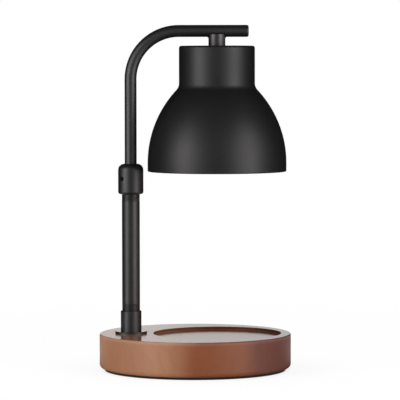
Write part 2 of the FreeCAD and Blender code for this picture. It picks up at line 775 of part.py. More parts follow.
# ---------------------------------------------------------------- lamp holder
def make_holder_bracket():
    """Steel strip bent into a stirrup: its web hangs on the nipple, its legs grip the holder."""
    body = new_part("holder_bracket", x=shade_x, z=web_top)
    inside = dim.holder_dia / 2 + dim.thread_gap
    outside = inside + dim.strip_thick
    foot = holder_foot + dim.holder_screw_up - dim.strip_below - web_top
    bend = dim.strip_round + dim.strip_thick
    stirrup = draw_path(new_sketch(body, "XZ_Plane"), [
        (-outside, foot),
        (-inside, foot),
        (-inside, -bend),
        (dim.strip_round - inside, -dim.strip_thick, -dim.strip_round),
        (inside - dim.strip_round, -dim.strip_thick),
        (inside, -bend, -dim.strip_round),
        (inside, foot),
        (outside, foot),
        (outside, -bend),
        (outside - bend, ZERO, bend),
        (bend - outside, ZERO),
        (-outside, -bend, bend),
    ])
    extrude(body, "Pad", stirrup, nipple_hole + dim.strip_side * 2, both_ways=True)
    hang_hole = draw_circle(new_sketch(body, "XY_Plane"), ZERO, ZERO, nipple_hole)
    extrude(body, "Pocket", hang_hole, dim.strip_thick)
    screw_level = holder_foot + dim.holder_screw_up - web_top
    screw_holes = new_sketch(body, "YZ_Plane")
    draw_circle(screw_holes, ZERO, screw_level, holder_screw_hole)
    extrude(body, "Pocket", screw_holes, dim.holder_dia * 2, both_ways=True)
    return body


def make_holder_screws():
    """Two slotted screws that pass the bracket's legs into the sides of the holder."""
    face = dim.holder_dia / 2 + dim.thread_gap + dim.strip_thick
    shank_long = dim.holder_screw_deep + dim.strip_thick + dim.thread_gap
    level = holder_foot + dim.holder_screw_up
    screws = []
    for name, direction in (("right_screw", 1), ("left_screw", -1)):
        along = (direction, 0, 0)
        shank_foot = shade_x + (face - shank_long) * direction
        shank = cylinder(f"{name}_shank", dim.holder_screw_dia, shank_long, (shank_foot, ZERO, level), along)
        head_foot = shade_x + face * direction
        head_place = (head_foot, ZERO, level)
        head = cylinder(f"{name}_head", dim.holder_head_dia, dim.holder_head_thick, head_place, along)
        outer = face + dim.holder_head_thick / 2
        left_edge = outer if direction > 0 else -(outer + dim.holder_head_thick / 2)
        corner = (shade_x + left_edge, -dim.driver_slot / 2, level - dim.holder_head_dia / 2)
        slot = block(f"{name}_slot", dim.holder_head_thick / 2, dim.driver_slot, dim.holder_head_dia, corner)
        whole = joined(f"{name}_blank", "Fuse", shank, head)
        screws.append(joined(name, "Cut", whole, slot))
    return group("holder_screws", screws)


def make_lamp_holder():
    """Ceramic holder with two curved keyhole slots; its own origin is the middle of its face."""
    radius = dim.holder_dia / 2
    body = turned("lamp_holder", [
        (ZERO, ZERO),
        (radius - dim.holder_chamfer, ZERO),
        (radius, dim.holder_chamfer),
        (radius, dim.holder_high - dim.holder_chamfer),
        (radius - dim.holder_chamfer, dim.holder_high),
        (ZERO, dim.holder_high),
    ], x=shade_x, z=holder_foot)
    neck_slot = dim.pin_neck + dim.pin_gap * 2
    way_out = -dim.twist
    for side in (1, -1):
        entry = new_sketch(body, "XY_Plane")
        middle = dim.pin_circle / 2 * side
        draw_circle(entry, cosine(way_out) * middle, sine(way_out) * middle, head_hole)
        extrude(body, "Pocket", entry, dim.lip_thick, reverse=True)
    for side in (1, -1):
        slot = new_sketch(body, "XY_Plane")
        middle = dim.pin_circle / 2 * side
        draw_circle(slot, middle, ZERO, neck_slot)
        extrude(body, "Pocket", slot, dim.lip_thick, reverse=True)
        locked = new_sketch(body, "XY_Plane", z=dim.lip_thick)
        draw_circle(locked, middle, ZERO, head_hole)
        extrude(body, "Pocket", locked, chamber_high, reverse=True)
        freed = new_sketch(body, "XY_Plane", z=dim.lip_thick)
        draw_circle(freed, cosine(way_out) * middle, sine(way_out) * middle, head_hole)
        extrude(body, "Pocket", freed, chamber_high, reverse=True)
        lead = draw_circle(new_sketch(body, "XY_Plane", z=dim.holder_high), middle, ZERO, dim.lead_way)
        extrude(body, "Pocket", lead, dim.holder_high - dim.lip_thick - chamber_high)
    near_hole = new_sketch(body, "YZ_Plane", z=-radius)
    draw_circle(near_hole, ZERO, dim.holder_screw_up, holder_screw_hole)
    extrude(body, "Pocket", near_hole, dim.holder_screw_deep + dim.end_gap, reverse=True)
    far_hole = new_sketch(body, "YZ_Plane", z=radius)
    draw_circle(far_hole, ZERO, dim.holder_screw_up, holder_screw_hole)
    extrude(body, "Pocket", far_hole, dim.holder_screw_deep + dim.end_gap)
    return body


def make_holder_contacts():
    """Two round brass contacts at the tops of the pin chambers."""
    level = holder_foot + dim.lip_thick + chamber_high - dim.contact_thick
    contacts = []
    for name, side in (("right_contact", 1), ("left_contact", -1)):
        place = (shade_x + dim.pin_circle / 2 * side, ZERO, level)
        contacts.append(cylinder(name, head_hole - dim.contact_side * 2, dim.contact_thick, place))
    return group("holder_contacts", contacts)


# ---------------------------------------------------------------- bulb
def make_bulb_base():
    """Cemented ceramic foot of the bulb; its own origin is the middle of its upper face."""
    return turned("bulb_base", [
        (ZERO, ZERO),
        (ZERO, -dim.bulb_neck_high),
        (dim.bulb_neck_dia / 2, -dim.bulb_neck_high),
        (dim.bulb_neck_dia / 2, -dim.bulb_neck_high / 2),
        (dim.bulb_foot_dia / 2, ZERO),
    ], x=shade_x, z=bulb_top)


def make_bulb_pins():
    """Two headed pins that lock in the holder's slots."""
    pins = []
    shank = dim.lip_thick + dim.pin_gap * 2
    for name, side in (("right_pin", 1), ("left_pin", -1)):
        middle = shade_x + dim.pin_circle / 2 * side
        neck = cylinder(f"{name}_neck", dim.pin_neck, shank, (middle, ZERO, bulb_top))
        head = cylinder(f"{name}_head", dim.pin_head, dim.pin_head_high, (middle, ZERO, bulb_top + shank))
        pins.append(joined(name, "Fuse", neck, head))
    return group("bulb_pins", pins)


def make_bulb_reflector():
    """Glass bowl of the bulb, open at the neck and at the front."""
    outer = dim.bulb_dia / 2
    neck = dim.bulb_neck_dia / 2
    rim_top = dim.bulb_rim - dim.bulb_high
    inner = outer - dim.bulb_glass
    return turned("bulb_reflector", [
        (neck, -dim.bulb_neck_high, dim.bulb_curve),
        (neck - dim.bulb_glass, -dim.bulb_neck_high),
        (inner - dim.bulb_glass, rim_top, -dim.bulb_curve),
        (inner, rim_top),
        (inner, -dim.bulb_high),
        (outer, -dim.bulb_high),
        (outer, rim_top),
    ], x=shade_x, z=bulb_top)


def make_bulb_lens():
    radius = dim.bulb_dia / 2 - dim.bulb_glass - dim.thread_gap
    lens_foot = bulb_top - dim.bulb_high + dim.bulb_rim - dim.lens_thick
    return turned("bulb_lens", ring_outline(ZERO, radius, ZERO, dim.lens_thick), x=shade_x, z=lens_foot)


def make_bulb_capsule():
    """Quartz capsule that stands in the reflector's neck."""
    radius = dim.capsule_dia / 2
    return turned("bulb_capsule", [
        (ZERO, ZERO),
        (radius, ZERO),
        (radius, radius - dim.capsule_high),
        (ZERO, -dim.capsule_high, -radius),
    ], x=shade_x, z=bulb_top - dim.bulb_neck_high)


# ---------------------------------------------------------------- the lamp
make_base_disc()
make_base_pad()
make_cord_grommet()
make_foot_flange()
make_foot_socket()
make_nipple("post_nipple", post_x, base_nut_foot - dim.nipple_tail, socket_foot + dim.socket_web - dim.end_gap)
make_washer("nipple_washer", dim.base_washer_dia, post_x, base_washer_foot)
make_nut("nipple_nut", post_x, base_nut_foot)
make_lower_tube()
make_height_collar()
make_clamp_screw()
make_guide_bush()
make_bush_clips()
make_upper_tube()
make_arm_end_plug()
make_shade_stem()
make_nipple("stem_nipple", shade_x, shade_nut_foot - dim.nipple_tail, shade_top + stem_thread - dim.end_gap)
make_shade()
make_washer("shade_washer", dim.shade_washer_dia, shade_x, shade_washer_foot)
make_nut("shade_nut", shade_x, shade_nut_foot)
make_holder_bracket()
make_holder_screws()
make_lamp_holder()
make_holder_contacts()
make_bulb_base()
make_bulb_pins()
make_bulb_reflector()
make_bulb_capsule()
make_bulb_lens()
doc.recompute()

# ---------------------------------------------------------------- checks and files
for item in doc.Objects:
    if "Invalid" in item.State or "Error" in item.State:
        raise RuntimeError(f"{item.Label} did not build: {item.State}")

for item in parts:
    if item.Shape.isNull() or not item.Shape.isValid():
        raise RuntimeError(f"{item.Label} has no valid shape")

os.makedirs("parts", exist_ok=True)
for item in parts:
    item.Shape.exportStep(os.path.join("parts", f"{item.Label}.step"))
    print(item.Label, len(item.Shape.Solids), "solid(s)", round(item.Shape.Volume, 1), "mm3")
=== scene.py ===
# %% [markdown]
# # A candle warmer lamp, dressed cell by cell
#
# A round wooden base carries a telescopic black post.  Its bent arm holds a spun metal shade over the
# candle recess, and a reflector bulb hangs inside the shade.  The shapes come ready-made from a CAD model;
# what is left for Blender is light, camera, finishes, and the few pieces that look better as dense meshes.

import json
import math

import bmesh
import bpy
from mathutils import Euler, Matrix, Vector


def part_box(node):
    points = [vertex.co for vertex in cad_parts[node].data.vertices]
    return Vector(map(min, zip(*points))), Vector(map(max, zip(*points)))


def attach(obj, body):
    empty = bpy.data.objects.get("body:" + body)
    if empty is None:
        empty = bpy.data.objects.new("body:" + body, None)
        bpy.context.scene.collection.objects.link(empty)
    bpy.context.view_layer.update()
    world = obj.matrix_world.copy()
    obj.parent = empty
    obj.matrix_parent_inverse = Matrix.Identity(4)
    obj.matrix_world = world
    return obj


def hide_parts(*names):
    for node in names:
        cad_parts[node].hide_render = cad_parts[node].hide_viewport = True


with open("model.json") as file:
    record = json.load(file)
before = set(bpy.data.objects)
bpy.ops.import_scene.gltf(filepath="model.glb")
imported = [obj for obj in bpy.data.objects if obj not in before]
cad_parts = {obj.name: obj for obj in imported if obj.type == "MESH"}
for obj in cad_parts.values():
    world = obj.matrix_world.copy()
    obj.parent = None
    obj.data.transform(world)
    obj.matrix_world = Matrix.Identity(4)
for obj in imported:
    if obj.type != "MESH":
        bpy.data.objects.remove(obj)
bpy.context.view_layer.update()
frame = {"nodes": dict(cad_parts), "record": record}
nodes = frame["nodes"]

# %% [markdown]
# ## Units
#
# Blender's frame is in metres, while a lamp maker thinks in millimetres.  Every size could be typed in
# metres, but then most numbers would start with a row of zeros.  One constant keeps them readable, and one
# helper gives the corners of a CAD node in millimetres, so that places are measured on the model and not
# typed twice.

# %% Millimetres
MM = 0.001


def corners_mm(node):
    """The lowest and the highest corner of a CAD node."""
    low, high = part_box(node)
    return low / MM, high / MM


base_low, base_high = corners_mm("base_disc")
shade_low, shade_high = corners_mm("shade")
print("base", tuple(round(side, 1) for side in base_high - base_low), "mm")
print("shade", tuple(round(side, 1) for side in shade_high - shade_low), "mm")

# %% [markdown]
# ## Camera
#
# A product portrait could be taken from close by, but then the post would lean and the base would bulge.
# From far away with a long lens the post stays straight, and the round base shows only a thin ellipse of
# its top.  So the camera stands a little over two metres away, at the height of the shade, and looks three
# degrees down.  Its roll and turn are fractions of a degree, which level the base and centre the lamp.

# %% Camera
LENS_MM = 240.4
SENSOR_MM = 36
CAMERA_PLACE = (-0.00567, -2.2272, 0.25653)
LOOKS_DOWN = 2.946
ROLL = 0.08
TURN = -0.2568

camera_data = bpy.data.cameras.new("portrait_lens")
camera_data.lens = LENS_MM
camera_data.sensor_width = SENSOR_MM
camera = bpy.data.objects.new("portrait_camera", camera_data)
camera.location = CAMERA_PLACE
camera.rotation_euler = Euler([math.radians(angle) for angle in (90 - LOOKS_DOWN, ROLL, TURN)])
bpy.context.scene.collection.objects.link(camera)
bpy.context.scene.camera = camera
bpy.context.scene.view_settings.view_transform = "Standard"
print("lens", LENS_MM, "mm")

# %% [markdown]
# ## Sums on sockets
#
# A finish is a small formula: some noise, a mask, a colour between two others.  Written as nodes and links
# it becomes long and hard to read, so one class wraps a node's output and lets Python's own signs add the
# Math nodes.  A sum or a difference may begin with a number too, so `1 - mask` works as well as `mask * 2`.

# %% One wire
class Wire:
    """The output of one node; sums on it add Math nodes."""

    def __init__(self, net, socket):
        self.net = net
        self.socket = socket

    def out(self, name):
        """Another output of the same node."""
        return Wire(self.net, self.socket.node.outputs[name])

    def maths(self, operation, *numbers):
        """A Math node."""
        return self.net.node("ShaderNodeMath", {"operation": operation}, *numbers)

    def __add__(self, other):
        return self.maths("ADD", self, other)

    def __sub__(self, other):
        return self.maths("SUBTRACT", self, other)

    def __rsub__(self, other):
        return self.maths("SUBTRACT", other, self)

    def __mul__(self, other):
        return self.maths("MULTIPLY", self, other)

    def __truediv__(self, other):
        return self.maths("DIVIDE", self, other)

    def __neg__(self):
        return self.maths("MULTIPLY", self, -1)

    __radd__ = __add__

    def root(self):
        """The square root."""
        return self.maths("SQRT", self)

    def fraction(self):
        """What is left after the decimal point."""
        return self.maths("FRACT", self)

    def larger(self, other):
        """The larger of the two."""
        return self.maths("MAXIMUM", self, other)

    def rise(self, low, high):
        """0 below low, 1 above high, and a smooth step between them."""
        settings = {"interpolation_type": "SMOOTHSTEP"}
        return self.net.node("ShaderNodeMapRange", settings, self, low, high, 0, 1)


print("wire ready, with", len(vars(Wire)), "members")

# %% [markdown]
# ## A net of nodes
#
# Every other node comes from one method.  It takes the node's type, its settings, and then what goes into
# its sockets: numbers, colours or wires.  Settings are set first, because some of them change which sockets
# a node has.  Colours are mixed in a Mix node, since a Math node would turn them grey, and a place is
# stretched in one Vector Math node.

# %% One net
class Net:
    """A node tree that is being filled."""

    def __init__(self, tree):
        self.tree = tree
        tree.nodes.clear()

    def feed(self, socket, value):
        """Puts a wire, a number or a colour into a socket; None leaves the socket alone."""
        if isinstance(value, Wire):
            self.tree.links.new(value.socket, socket)
        elif isinstance(value, tuple) and socket.type == "RGBA":
            socket.default_value = (*value, 1)
        elif value is not None:
            socket.default_value = value

    def node(self, kind, settings=None, *values, **named):
        """A new node, with values for its first sockets, and more by the sockets' names."""
        node = self.tree.nodes.new(kind)
        for name, setting in (settings or {}).items():
            setattr(node, name, setting)
        for socket, value in zip(node.inputs, values):
            self.feed(socket, value)
        for name, value in named.items():
            self.feed(node.inputs[name.replace("_", " ")], value)
        return Wire(self, node.outputs[0]) if node.outputs else node

    def mix(self, factor, first, second, blend_type="MIX"):
        """A colour from two others: factor 0 gives the first, and 1 the second."""
        settings = {"data_type": "RGBA", "blend_type": blend_type}
        sockets_of_other_types = [None] * 5
        mixed = self.node("ShaderNodeMix", settings, factor, *sockets_of_other_types, first, second)
        return Wire(self, mixed.socket.node.outputs[2])

    def place(self):
        """Where a point of the piece is, in metres."""
        return self.node("ShaderNodeTexCoord").out("Object")

    def axes(self, vector):
        """The x, y and z of a place or a direction."""
        parts = self.node("ShaderNodeSeparateXYZ", None, vector)
        return parts, parts.out("Y"), parts.out("Z")

    def stretched(self, place, along):
        """A place drawn out along an axis: a factor below 1 makes the pattern longer that way."""
        return self.node("ShaderNodeVectorMath", {"operation": "MULTIPLY"}, place, along)

    def noise(self, place, size_mm, detail, roughness=0.5):
        """Soft noise whose lumps are about size_mm wide, from 0 to 1."""
        scale = 1 / (size_mm * MM)
        return self.node("ShaderNodeTexNoise", None, place, Scale=scale, Detail=detail, Roughness=roughness)

    def low_angle(self):
        """1 where the surface is seen at a very low angle, 0 from about ten degrees above it."""
        return self.node("ShaderNodeLayerWeight", None, 0.5).out("Facing").rise(0.82, 0.893)

    def bump(self, height, depth_mm):
        """Relief from a height of 0 to 1."""
        return self.node("ShaderNodeBump", None, Strength=1.0, Distance=depth_mm * MM, Height=height)


def new_finish(name):
    """A material with an empty net, ready to be filled."""
    material = bpy.data.materials.new(name)
    material.use_nodes = True
    return material, Net(material.node_tree)


def close_finish(material, net, **sockets):
    """Ends a material's net in a Principled shader."""
    shader = net.node("ShaderNodeBsdfPrincipled", None, **sockets)
    net.node("ShaderNodeOutputMaterial", None, shader)
    print(material.name + ":", len(net.tree.nodes), "nodes")


print("net ready, with", len(vars(Net)), "members")

# %% [markdown]
# ## The room around the lamp
#
# Black satin metal shows the room more than it shows its own colour.  In a real studio the lamp stands
# before a white backdrop, with dark cloth left and right and a dim room behind the camera, so its edges
# stay black.  Such a room could be modelled, but the world can do the same by direction, with no mesh to
# light: white for the camera and through glass, a white patch behind the lamp and a dim front for
# reflections, and an even grey for the light that fills the shadows.

# %% World
WHITE = (1.0, 1.0, 1.0)
FILL_LEVEL = 0.42
FRONT_LEVEL = 0.13
BACKDROP_EDGE = (0.965, 0.995)
FRONT_EDGE = (0.2, 0.95)

world = bpy.data.worlds.new("studio_room")
world.use_nodes = True
world.cycles.sampling_method = "NONE"
bpy.context.scene.world = world
room = Net(world.node_tree)

ray = room.node("ShaderNodeLightPath")
seen = ray.out("Is Camera Ray").larger(ray.out("Is Transmission Ray"))
mirrored = ray.out("Is Glossy Ray")
_, backwards, _ = room.axes(room.node("ShaderNodeTexCoord"))
backdrop = backwards.rise(*BACKDROP_EDGE)
front = (-backwards).rise(*FRONT_EDGE) * FRONT_LEVEL
level = mirrored * backdrop.larger(front) + (1 - mirrored) * FILL_LEVEL
sky = room.node("ShaderNodeBackground", None, WHITE, seen + (1 - seen) * level)
room.node("ShaderNodeOutputWorld", None, sky)
print("fill", FILL_LEVEL, "front", FRONT_LEVEL)

# %% [markdown]
# ## Softboxes and panels
#
# The two soft stripes that run down every black tube are the mirror images of two tall softboxes, one on
# each side of the camera.  A tube shows a light at half the angle at which it stands, so boxes at about 54
# degrees give stripes 27 degrees off the middle.  The glow of a real softbox fades towards its sides.  A
# picture of such a cloth could be put on each lamp, but a wide, weak panel close behind each box does it
# too, and it also widens the soft lights on the lower half of the shade.  The panels are only there to be
# mirrored.  A weak lamp from above only fills, and isn't mirrored.

# %% Lamps
SOFTBOX = {"distance": 1.35, "height": 0.25, "width": 0.6, "tall": 1.4, "watts": 9.9}
PANEL = {"distance": 1.36, "height": 0.37, "width": 1.6, "tall": 0.76, "watts": 4.1, "lights_up": False}
CEILING = {"distance": 0.3, "height": 1.6, "width": 1.2, "tall": 1.2, "watts": 6.0, "in_mirrors": False}
LAMP_COLOUR = (1.0, 0.96, 0.995)
LAMP_AIM = Vector((0, 0, 0.16))


def softbox(name, turn, distance, height, width, tall, watts, lights_up=True, in_mirrors=True):
    """A rectangular lamp that looks at the middle of the object; turn is in degrees from the front."""
    data = bpy.data.lights.new(name, "AREA")
    data.shape = "RECTANGLE"
    data.color = LAMP_COLOUR
    data.size = width
    data.size_y = tall
    data.energy = watts
    lamp = bpy.data.objects.new(name, data)
    angle = math.radians(turn)
    lamp.location = (math.sin(angle) * distance, -math.cos(angle) * distance, height)
    lamp.rotation_euler = (LAMP_AIM - Vector(lamp.location)).to_track_quat("-Z", "Y").to_euler()
    lamp.visible_camera = False
    lamp.visible_diffuse = lights_up
    lamp.visible_glossy = in_mirrors
    bpy.context.scene.collection.objects.link(lamp)


softbox("softbox_left", -55, **SOFTBOX)
softbox("softbox_right", 53.5, **SOFTBOX)
softbox("panel_left", -50, **PANEL)
softbox("panel_right", 50, **PANEL)
softbox("ceiling_fill", 180, **CEILING)

# %% [markdown]
# ## The floor
#
# The lamp stands on a plain white sheet.  A square would do for it, but a round one can fade out evenly,
# the same in every view, so the mesh is one circle, a hair below the pad.

# %% Floor sheet
FLOOR_RADIUS = 0.75
FLOOR_DROP = 0.2 * MM
FLOOR_SIDES = 96

floor_mesh = bpy.data.meshes.new("floor")
floor_bm = bmesh.new()
bmesh.ops.create_circle(floor_bm, cap_ends=True, segments=FLOOR_SIDES, radius=FLOOR_RADIUS)
floor_bm.to_mesh(floor_mesh)
floor_bm.free()
floor = bpy.data.objects.new("floor", floor_mesh)
floor.location.z = -FLOOR_DROP
bpy.context.scene.collection.objects.link(floor)
print("floor radius", FLOOR_RADIUS, "m")

# %% [markdown]
# ## A white floor that still takes a shadow
#
# A plain white floor would turn grey away from the lamps, and stronger lamps would wash out the wood.  So
# the part that is looked at is a glow plus a little diffuse white, and a shadow only dims it a little;
# where the base stands on it, ambient occlusion dims the glow too, which draws the thin dark line of
# contact.  Light that bounces off the floor comes from a plainer mix.  Three things make the floor vanish:
# distance, so that it fades into the white of the world and hides the horizon; a look from below, which
# shows the underside of the base; and mirrors that would see it in front of the lamp or far away, because a
# bright floor there would wash out the black tubes.

# %% Floor finish
GLOW = 0.84
MATTE = (0.21, 0.21, 0.21)
BOUNCE_GLOW = 0.35
BOUNCE_MATTE = (0.7, 0.7, 0.7)
CONTACT_REACH = 1.5 * MM
FADE = (FLOOR_RADIUS * 0.4, FLOOR_RADIUS * 0.95)
BEHIND = (0.0, 0.12)
FAR_IN_MIRROR = (0.18, 0.36)

floor_material, net = new_finish("pale_floor")
ray = net.node("ShaderNodeLightPath")
mirrored = ray.out("Is Glossy Ray")
looked_at = ray.out("Is Camera Ray").larger(ray.out("Is Transmission Ray")).larger(mirrored)
x, y, _ = net.axes(net.place())
faded = (x * x + y * y).root().rise(*FADE)
unmirrored = (1 - y.rise(*BEHIND)).larger(ray.out("Ray Length").rise(*FAR_IN_MIRROR))
from_below = net.node("ShaderNodeNewGeometry").out("Backfacing")
gone = faded.larger(mirrored * unmirrored).larger(from_below)

contact = net.node("ShaderNodeAmbientOcclusion", {"samples": 12}, WHITE, CONTACT_REACH)
glow = net.node("ShaderNodeEmission", None, contact, GLOW)
lit = net.node("ShaderNodeAddShader", None, glow, net.node("ShaderNodeBsdfDiffuse", None, MATTE))
glow = net.node("ShaderNodeEmission", None, WHITE, BOUNCE_GLOW)
plain = net.node("ShaderNodeAddShader", None, glow, net.node("ShaderNodeBsdfDiffuse", None, BOUNCE_MATTE))
shown = net.node("ShaderNodeMixShader", None, looked_at, plain, lit)
clear = net.node("ShaderNodeBsdfTransparent")
net.node("ShaderNodeOutputMaterial", None, net.node("ShaderNodeMixShader", None, gone, shown, clear))
floor_mesh.materials.append(floor_material)
print("floor finish:", len(net.tree.nodes), "nodes")

# %% [markdown]
# ## Black satin paints
#
# Powder coat is melted plastic dust: deep black, satin, with a very fine orange-peel relief.  One dark
# colour with one roughness would look like plastic film.  The relief matters more than the colour, because
# it breaks the edges of every reflection: two sizes of noise make it, and a third, much larger one lets the
# gloss drift a little, as hands and packing leave it.  The turned parts of the post are smoother under a
# thin black lacquer, so they mirror the softboxes more strongly.  Every paint is painted lighter on the side
# that faces +X, a painted warm light, which is brownish on the lacquer.  The faced top of the flange turns
# glossy at a low angle.  On the sliding tube a stretch above the collar is painted paler on that side, a
# painted highlight streak.

# %% Black paints
SOOT = (0.0052, 0.0053, 0.0050)
GREY_GRIT = (0.0088, 0.0087, 0.0086)
# painted warm light for the +X side of the lacquered parts
PAINTED_LIGHT_WARM = (0.0150, 0.0118, 0.0098)
PAINTED_LIGHT_BROWN = (0.0270, 0.0170, 0.0120)
PAINTED_STREAK_GREY = (0.072, 0.069, 0.067)
PAINTED_STREAK_FROM = (140 * MM, 165 * MM)
PAINTED_STREAK_TO = (180 * MM, 225 * MM)


def black_paint(name, rough, mirror, peel_mm, painted_warm_light, low_rough=None, painted_light=None):
    """Satin black.  mirror is the strength of its reflections, 0.5 for plain plastic; painted_warm_light is
    the colour painted on the side facing +X, a painted warm light; low_rough is the roughness at a very low
    angle, and painted_light the colour of a painted highlight streak on that side above the collar."""
    material, net = new_finish(name)
    place = net.place()
    peel = net.noise(place, 0.9, 3)
    grit = net.noise(place, 0.16, 2)
    drift = net.noise(place, 22, 3)
    sideways, _, _ = net.axes(net.node("ShaderNodeNewGeometry").out("Normal"))
    # painted highlight streak: the +X side of the tube above the collar is painted paler
    if painted_light:
        _, _, z = net.axes(place)
        painted_streak = z.rise(*PAINTED_STREAK_FROM) * (1 - z.rise(*PAINTED_STREAK_TO)) * (1 - sideways.rise(0.45, 0.85))
        painted_warm_light = net.mix(painted_streak, painted_warm_light, painted_light)
    if low_rough:
        rough = rough + net.low_angle() * (low_rough - rough)
    colour = net.mix(grit.rise(0.3, 0.75), SOOT, GREY_GRIT)
    # painted warm light: the side facing +X is mixed towards a lighter colour
    colour = net.mix(sideways.rise(0.05, 0.75), colour, painted_warm_light)
    gloss = rough + (drift - 0.5) * 0.12 + (grit - 0.5) * 0.10
    relief = net.bump(peel * 0.7 + grit * 0.3, peel_mm)
    close_finish(material, net, Base_Color=colour, Roughness=gloss, Normal=relief, Specular_IOR_Level=mirror)
    return material


black_coat = black_paint("black_coat", 0.475, 0.5, 0.018, (0.0078, 0.0076, 0.0074))
black_lacquer = black_paint("black_lacquer", 0.46, 0.72, 0.010, PAINTED_LIGHT_WARM)
post_lacquer = black_paint("post_lacquer", 0.46, 0.69, 0.010, PAINTED_LIGHT_BROWN)
slid_lacquer = black_paint("slid_lacquer", 0.46, 0.8, 0.010, PAINTED_LIGHT_WARM, painted_light=PAINTED_STREAK_GREY)
stem_lacquer = black_paint("stem_lacquer", 0.42, 0.9, 0.008, (0.0480, 0.0400, 0.0350))
rim_lacquer = black_paint("rim_lacquer", 0.42, 1.0, 0.002, PAINTED_LIGHT_WARM, low_rough=0.14)

# %% [markdown]
# ## Growth rings
#
# The base is turned from one board whose grain runs from the post to the shade.  Stripes could be drawn on
# its top, but then the side would not match them.  In the tree the growth rings are cylinders round the
# heart, so their shade depends only on the distance from a line beside and below the board, and the stripes
# come out right on every face that the lathe cuts.  A little warp makes them wander, and some years are
# wider.

# %% Growth rings
HEART_Y = 210 * MM
HEART_Z = -85 * MM
RING_WIDTH = 5.2 * MM
WARP = 8 * MM
YEAR_DRIFT = 16 * MM


def dark_wood(net, place):
    """0 in the pale wood of spring, rising to 1 in the dark line that ends the year."""
    warp = net.noise(net.stretched(place, (0.12, 1, 1)), 26, 2) - 0.5
    slow_year = net.noise(net.stretched(place, (0.05, 1, 1)), 17, 1) - 0.5
    _, y, z = net.axes(place)
    beside = y - HEART_Y
    above = z - HEART_Z
    ring = (beside * beside + above * above).root() + warp * WARP + slow_year * YEAR_DRIFT
    season = (ring / RING_WIDTH).fraction()
    return season.rise(0.35, 0.97) * (1 - season.rise(0.97, 1.0))


print("rings", round(RING_WIDTH / MM, 1), "mm wide")

# %% [markdown]
# ## Stain and painted light
#
# Along the board the colour goes from peachy at the post's end through orange in the middle to maroon at
# the shade's end: painted light at the post's end and painted shade at the shade's end.  Soft rusty bands
# across it are the stain soaking in unevenly.  A ramp with three stops would do for the first, but each part
# also has its own darker tone in the rings, so every part is a pair of colours, and the parts are mixed
# along the board with edges that wander.

# %% Stain and painted light
PAINTED_LIT_PEACHY = ((0.420, 0.196, 0.096), (0.310, 0.128, 0.060))
ORANGE = ((0.245, 0.066, 0.015), (0.170, 0.042, 0.010))
PAINTED_SHADED_MAROON = ((0.155, 0.052, 0.036), (0.115, 0.036, 0.026))
RUSTY = (0.270, 0.085, 0.030)
LIT_TO_MIDDLE = (-34 * MM, 6 * MM)
MIDDLE_TO_SHADED = (33 * MM, 64 * MM)
WANDER = 20 * MM


def stain_with_painted_light(net, place, rings):
    """The stain's colour along the board, with painted light at the post's end and painted shade at the
    shade's end; rings says how far its darker tone shows.
    """
    lit_peachy, orange, shaded_maroon = (net.mix(rings, *pair) for pair in (PAINTED_LIT_PEACHY, ORANGE, PAINTED_SHADED_MAROON))
    x, _, _ = net.axes(place)
    along = x + (net.noise(place, 48, 2) - 0.5) * WANDER
    # painted light towards the post's end, painted shade towards the shade's end
    colour = net.mix(along.rise(*LIT_TO_MIDDLE), lit_peachy, orange)
    colour = net.mix(along.rise(*MIDDLE_TO_SHADED), colour, shaded_maroon)
    band = net.noise(net.stretched(place, (1, 0.25, 0.12)), 14, 2)
    return net.mix(band.rise(0.3, 0.7) * 0.22, colour, RUSTY)


print("stain from", PAINTED_LIT_PEACHY[0], "to", PAINTED_SHADED_MAROON[0])

# %% [markdown]
# ## Lacquered wood
#
# Fibres and pores are noise drawn out along the grain.  Over them lies a clear lacquer, for which the
# shader has a coat of its own.  On the polished top the coat mirrors the post, but only at a low angle:
# seen from higher up the wood looks like satin, so the coat's weight follows the angle.  The side was only
# wiped with the same lacquer.  The wall of the recess is painted darker, a painted shade.  The upper edge
# is painted paler, partly wear and partly a painted highlight, most of all on the post's side.

# %% Wood
EDGE_RADIUS = (base_high.x - base_low.x) / 2 * MM
WOOD_TOP = base_high.z * MM
DARK_FIBRE = (0.86, 0.84, 0.82)
PALE_FIBRE = 1.12
PORE_COLOUR = (0.062, 0.020, 0.012)
WEAR_AND_HIGHLIGHT_COLOUR = (0.50, 0.27, 0.18)
PALE_EDGE_REACH = (EDGE_RADIUS - 1.4 * MM, EDGE_RADIUS - 0.3 * MM)
PALE_EDGE_HEIGHT = (WOOD_TOP - 3.6 * MM, WOOD_TOP - 0.4 * MM)
PALER_TOWARDS_POST = (-22 * MM, 8 * MM)


